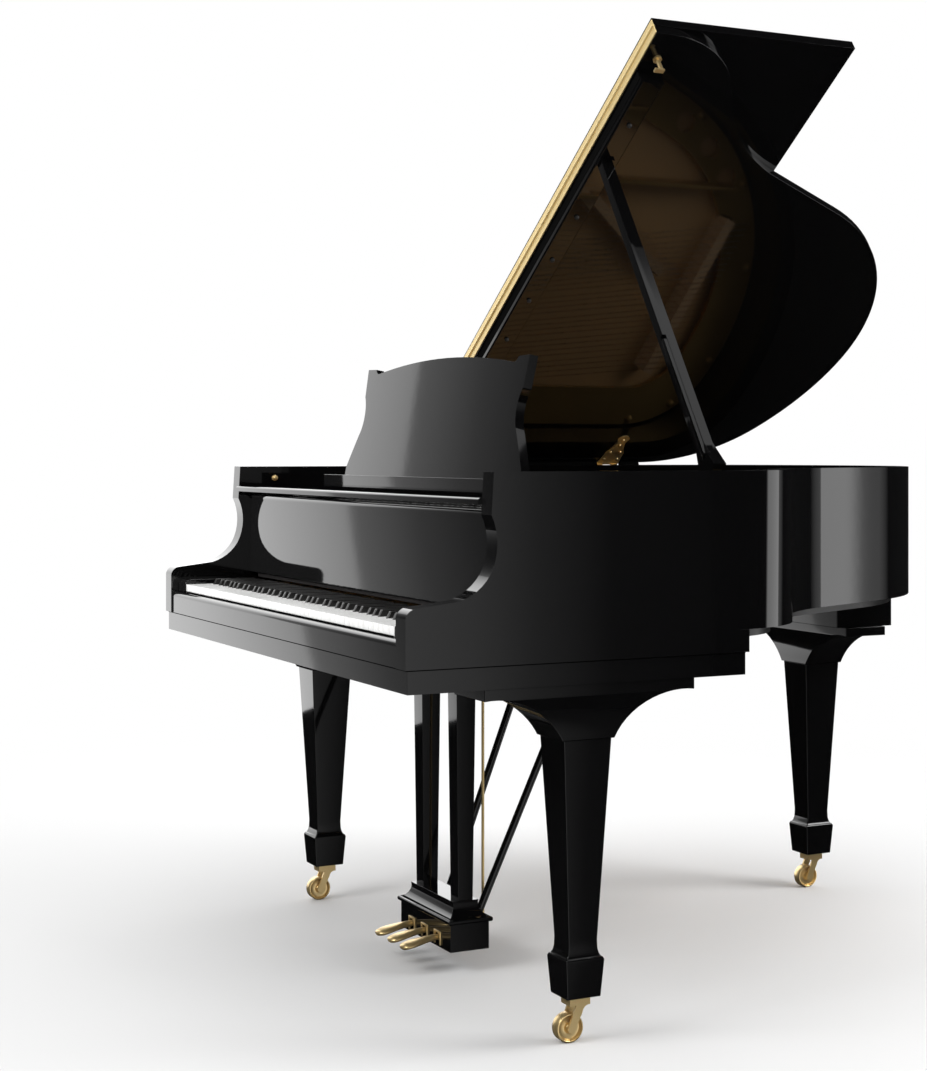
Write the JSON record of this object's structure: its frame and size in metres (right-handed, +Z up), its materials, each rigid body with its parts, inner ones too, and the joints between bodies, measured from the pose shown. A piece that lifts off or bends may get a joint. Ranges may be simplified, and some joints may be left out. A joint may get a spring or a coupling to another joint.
{
  "type": "grand piano",
  "caption": "Small black grand piano with its lid propped open, front flap folded back, music desk, fallboard, playing keys and action, pedals on a lyre and castered legs.",
  "frame": {"origin": "on the floor, under the middle of the whole object's box with the lid open", "axes": "+Z up from the floor, +Y from the keys to the tail, +X from the bass side to the treble side"},
  "size_m": [1.4484, 1.611, 1.8696],
  "materials": {
    "black_lacquer": "high-gloss black polyester lacquer",
    "maple": "oiled hardwood",
    "spruce": "satin varnished softwood",
    "gold_cast_iron": "gold bronze paint",
    "steel": "plain wire and bar",
    "brass": "polished",
    "white_key": "gloss white key tops on wooden sticks",
    "black_key": "satin black",
    "damper_black": "black painted heads"
  },
  "bodies": {
    "case": {"rim": "black_lacquer", "inner_rim": "maple", "key_bed": "black_lacquer", "key_slip": "black_lacquer", "key_blocks": "black_lacquer", "back_frame": "maple", "pin_block": "maple", "stretcher_rail": "black_lacquer", "soundboard": "spruce", "soundboard_ribs": "spruce", "bridges": "maple", "iron_frame": "gold_cast_iron", "strings": "steel", "tuning_pins": "steel", "leg_brackets": "black_lacquer", "rear_leg_block": "black_lacquer", "front_left_leg": "black_lacquer", "front_right_leg": "black_lacquer", "rear_leg": "black_lacquer", "caster_sockets": "brass", "lyre_frame": "black_lacquer", "pedal_box": "black_lacquer", "pedal_escutcheons": "brass", "lyre_braces": "black_lacquer", "desk_rails": "black_lacquer", "lid_hinge_bases": "brass", "prop_hinge": "brass"},
    "lid": {"lid": "black_lacquer", "lid_batten": "black_lacquer", "lid_hinge_leaves": "brass", "lid_hook": "brass", "flap_hinge_lid_leaf": "brass"},
    "flap": {"lid_flap": "black_lacquer", "flap_hinge_flap_leaf": "brass"},
    "prop": {"lid_prop": "black_lacquer"},
    "half_stick": {"half_stick": "black_lacquer"},
    "fallboard": {"fallboard": "black_lacquer"},
    "desk_tray": {"desk_tray": "black_lacquer"},
    "music_desk": {"music_desk": "black_lacquer"},
    "desk_strut": {"desk_strut": "black_lacquer"},
    "key_frame": {"key_frame": "maple", "action_stack": "steel"},
    "natural_keys": {"natural_keys": "white_key"},
    "sharp_keys": {"sharp_keys": "black_key"},
    "natural_hammers": {"natural_hammers": "maple"},
    "sharp_hammers": {"sharp_hammers": "maple"},
    "dampers": {"dampers": "damper_black"},
    "sostenuto_rod": {"sostenuto_rod": "steel"},
    "left_pedal": {"left_pedal": "brass"},
    "left_pedal_rod": {"left_pedal_rod": "brass"},
    "middle_pedal": {"middle_pedal": "brass"},
    "middle_pedal_rod": {"middle_pedal_rod": "brass"},
    "right_pedal": {"right_pedal": "brass"},
    "right_pedal_rod": {"right_pedal_rod": "brass"},
    "front_left_caster_fork": {"front_left_caster_fork": "brass"},
    "front_left_caster_wheel": {"front_left_caster_wheel": "brass"},
    "front_right_caster_fork": {"front_right_caster_fork": "brass"},
    "front_right_caster_wheel": {"front_right_caster_wheel": "brass"},
    "rear_caster_fork": {"rear_caster_fork": "brass"},
    "rear_caster_wheel": {"rear_caster_wheel": "brass"}
  },
  "joints": [
    {"name": "lid_hinge", "type": "hinge", "parent": "case", "child": "lid", "pos_m": [-0.70785, -0.18646, 1.011], "axis": [0, -1, 0], "range_deg": [0, 8]},
    {"name": "flap_hinge", "type": "hinge", "parent": "lid", "child": "flap", "pos_m": [-0.12343, -0.18846, 1.44036], "axis": [0.8192, 0, 0.5736], "range_deg": [0, 180]},
    {"name": "prop_fold", "type": "hinge", "parent": "case", "child": "prop", "pos_m": [0.66215, -0.16546, 0.98], "axis": [0, -1, 0], "range_deg": [0, 56]},
    {"name": "half_stick_swing", "type": "hinge", "parent": "prop", "child": "half_stick", "pos_m": [0.63153, -0.16546, 1.03414], "axis": [0, 1, 0], "range_deg": [0, 24]},
    {"name": "fallboard_hinge", "type": "hinge", "parent": "case", "child": "fallboard", "pos_m": [0.01715, -0.6155, 0.772], "axis": [1, 0, 0], "range_deg": [0, 92]},
    {"name": "tray_slide", "type": "slide", "parent": "case", "child": "desk_tray", "axis": [0, -1, 0], "range_m": [0, 0.08]},
    {"name": "desk_tilt", "type": "hinge", "parent": "desk_tray", "child": "music_desk", "pos_m": [0.01715, -0.4645, 0.9763], "axis": [-1, 0, 0], "range_deg": [0, 78]},
    {"name": "strut_swing", "type": "hinge", "parent": "desk_tray", "child": "desk_strut", "pos_m": [0.01715, -0.3535, 0.9593], "axis": [-1, 0, 0], "range_deg": [0, 118.5]},
    {"name": "key_frame_shift", "type": "slide", "parent": "case", "child": "key_frame", "axis": [1, 0, 0], "range_m": [0, 0.003], "stiffness_N_per_m": 4000, "springref_m": -0.004},
    {"name": "natural_key_dip", "type": "hinge", "parent": "key_frame", "child": "natural_keys", "pos_m": [0.01715, -0.5655, 0.716], "axis": [1, 0, 0], "range_deg": [0, 2.6], "stiffness_Nm_per_rad": 80, "springref_deg": -4.58},
    {"name": "natural_hammer_swing", "type": "hinge", "parent": "key_frame", "child": "natural_hammers", "pos_m": [0.01715, -0.5095, 0.8], "axis": [1, 0, 0], "range_deg": [0, 19.5]},
    {"name": "sharp_key_dip", "type": "hinge", "parent": "key_frame", "child": "sharp_keys", "pos_m": [0.01715, -0.5655, 0.716], "axis": [1, 0, 0], "range_deg": [0, 2.6], "stiffness_Nm_per_rad": 40, "springref_deg": -4.58},
    {"name": "sharp_hammer_swing", "type": "hinge", "parent": "key_frame", "child": "sharp_hammers", "pos_m": [0.01715, -0.5095, 0.8], "axis": [1, 0, 0], "range_deg": [0, 19.5]},
    {"name": "damper_lift", "type": "slide", "parent": "case", "child": "dampers", "axis": [0, 0, 1], "range_m": [0, 0.0076]},
    {"name": "sostenuto_turn", "type": "hinge", "parent": "case", "child": "sostenuto_rod", "pos_m": [0.01715, -0.3465, 0.795], "axis": [-1, 0, 0], "range_deg": [0, 22]},
    {"name": "left_pedal_press", "type": "hinge", "parent": "case", "child": "left_pedal", "pos_m": [-0.04885, -0.4205, 0.063], "axis": [1, 0, 0], "range_deg": [0, 8], "stiffness_Nm_per_rad": 20, "springref_deg": -3.44},
    {"name": "left_rod_lift", "type": "slide", "parent": "case", "child": "left_pedal_rod", "axis": [0, 0, 1], "range_m": [0, 0.0076]},
    {"name": "middle_pedal_press", "type": "hinge", "parent": "case", "child": "middle_pedal", "pos_m": [0.01715, -0.4205, 0.063], "axis": [1, 0, 0], "range_deg": [0, 8], "stiffness_Nm_per_rad": 20, "springref_deg": -3.44},
    {"name": "middle_rod_lift", "type": "slide", "parent": "case", "child": "middle_pedal_rod", "axis": [0, 0, 1], "range_m": [0, 0.0076]},
    {"name": "right_pedal_press", "type": "hinge", "parent": "case", "child": "right_pedal", "pos_m": [0.08315, -0.4205, 0.063], "axis": [1, 0, 0], "range_deg": [0, 8], "stiffness_Nm_per_rad": 20, "springref_deg": -3.44},
    {"name": "right_rod_lift", "type": "slide", "parent": "case", "child": "right_pedal_rod", "axis": [0, 0, 1], "range_m": [0, 0.0076]},
    {"name": "front_left_swivel", "type": "hinge", "parent": "case", "child": "front_left_caster_fork", "pos_m": [-0.61605, -0.4512, 0.0788], "axis": [0, 0, 1], "continuous": true},
    {"name": "front_left_roll", "type": "hinge", "parent": "front_left_caster_fork", "child": "front_left_caster_wheel", "pos_m": [-0.61605, -0.4672, 0.026], "axis": [1, 0, 0], "continuous": true},
    {"name": "front_right_swivel", "type": "hinge", "parent": "case", "child": "front_right_caster_fork", "pos_m": [0.65035, -0.4512, 0.0788], "axis": [0, 0, 1], "continuous": true},
    {"name": "front_right_roll", "type": "hinge", "parent": "front_right_caster_fork", "child": "front_right_caster_wheel", "pos_m": [0.65035, -0.4672, 0.026], "axis": [1, 0, 0], "continuous": true},
    {"name": "rear_swivel", "type": "hinge", "parent": "case", "child": "rear_caster_fork", "pos_m": [-0.19495, 0.62241, 0.0788], "axis": [0, 0, 1], "continuous": true},
    {"name": "rear_roll", "type": "hinge", "parent": "rear_caster_fork", "child": "rear_caster_wheel", "pos_m": [-0.19495, 0.60641, 0.026], "axis": [1, 0, 0], "continuous": true}
  ],
  "couplings": [
    {"joint": "strut_swing", "follows": "desk_tilt", "ratio": 1.5192},
    {"joint": "natural_hammer_swing", "follows": "natural_key_dip", "ratio": 7.5},
    {"joint": "sharp_hammer_swing", "follows": "sharp_key_dip", "ratio": 7.5},
    {"joint": "right_rod_lift", "follows": "right_pedal_press", "m_per_rad": 0.054431},
    {"joint": "damper_lift", "follows": "right_pedal_press", "m_per_rad": 0.054431},
    {"joint": "middle_rod_lift", "follows": "middle_pedal_press", "m_per_rad": 0.054431},
    {"joint": "sostenuto_turn", "follows": "middle_pedal_press", "ratio": 2.75},
    {"joint": "left_rod_lift", "follows": "left_pedal_press", "m_per_rad": 0.054431},
    {"joint": "key_frame_shift", "follows": "left_pedal_press", "m_per_rad": 0.021486}
  ]
}
